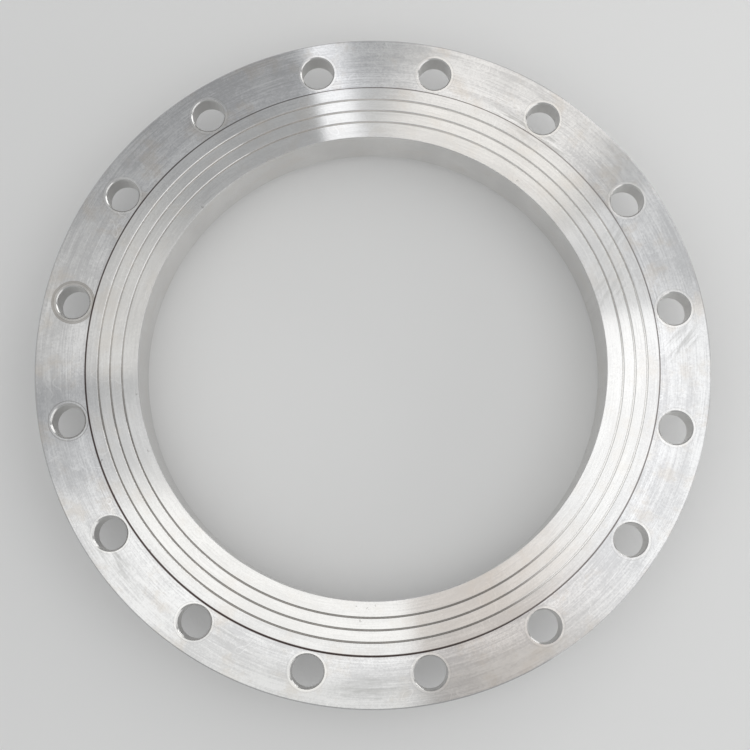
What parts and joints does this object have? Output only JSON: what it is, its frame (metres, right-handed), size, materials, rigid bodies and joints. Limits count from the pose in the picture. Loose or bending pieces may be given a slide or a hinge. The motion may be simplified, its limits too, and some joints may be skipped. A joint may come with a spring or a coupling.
{
  "type": "socket weld flange",
  "caption": "Steel ring flange that a pipe is welded into from behind and bolted through its plate, with gasket grooves in its raised face.",
  "frame": {"origin": "centre of the hub's end face, on the bore's axis, at the bottom of the flange", "axes": "+Z along the bore, from the hub's end to the raised face; +X lies midway between two bolt holes"},
  "size_m": [0.56, 0.56, 0.076],
  "materials": {
    "turned_steel": "bright satin steel, faced on a lathe, with fine round tool marks"
  },
  "bodies": {
    "root": {"flange": "turned_steel"}
  },
  "joints": []
}
